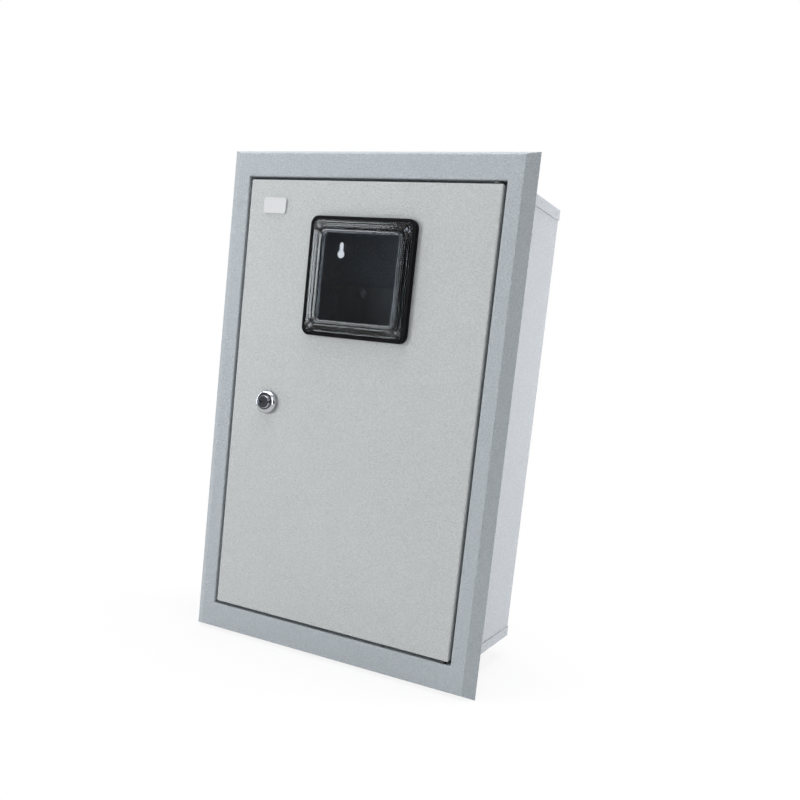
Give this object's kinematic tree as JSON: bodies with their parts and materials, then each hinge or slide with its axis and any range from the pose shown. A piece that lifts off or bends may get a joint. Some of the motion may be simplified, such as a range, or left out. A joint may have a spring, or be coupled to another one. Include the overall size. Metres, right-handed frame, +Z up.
{
  "type": "electrical enclosure",
  "caption": "Recessed sheet-steel electrical enclosure with a splayed wall frame, a hinged door, a gasketed meter window and a cam lock.",
  "frame": {"origin": "centre of the wall-fixing hole pattern on the outer face of the back wall", "axes": "+X right seen from the front, +Y into the wall, +Z up"},
  "size_m": [0.36, 0.175, 0.548],
  "materials": {
    "painted_sheet": "textured powder coat",
    "zinc_steel": "zinc plated",
    "black_rubber": "satin",
    "clear_plastic": "clear gloss",
    "nylon": "satin",
    "badge_metal": "satin",
    "chrome": "polished",
    "brass": "satin"
  },
  "bodies": {
    "enclosure": {"body_wrap": "painted_sheet", "top_cover": "painted_sheet", "bottom_cover": "painted_sheet", "front_frame": "painted_sheet", "mounting_panel": "zinc_steel", "panel_studs": "zinc_steel", "panel_spacers": "zinc_steel", "panel_nuts": "zinc_steel", "din_rail": "zinc_steel", "rail_screws": "zinc_steel", "earth_stud": "brass", "earth_washer": "brass", "earth_nut": "brass", "hinge_pin_upper": "zinc_steel", "hinge_pin_lower": "zinc_steel", "hinge_washer_upper": "nylon", "hinge_washer_lower": "nylon"},
    "door": {"door_panel": "painted_sheet", "hinge_bracket_upper": "painted_sheet", "hinge_bracket_lower": "painted_sheet", "window_gasket": "black_rubber", "window_cover": "clear_plastic", "window_clamp": "zinc_steel", "window_screws": "zinc_steel", "badge_plate": "badge_metal", "lock_housing": "chrome", "lock_nut": "zinc_steel", "door_earth_stud": "brass", "door_earth_nut": "brass"},
    "lock": {"lock_plug": "chrome", "lock_cam": "zinc_steel", "cam_washer": "zinc_steel", "cam_screw": "zinc_steel"}
  },
  "joints": [
    {"name": "door_hinge", "type": "hinge", "parent": "enclosure", "child": "door", "pos_m": [0.141, -0.159, 0], "axis": [0, 0, 1], "range_deg": [0, 110]},
    {"name": "lock_turn", "type": "hinge", "parent": "door", "child": "lock", "pos_m": [-0.102, -0.165, 0], "axis": [0, 1, 0], "range_deg": [0, 90]}
  ]
}
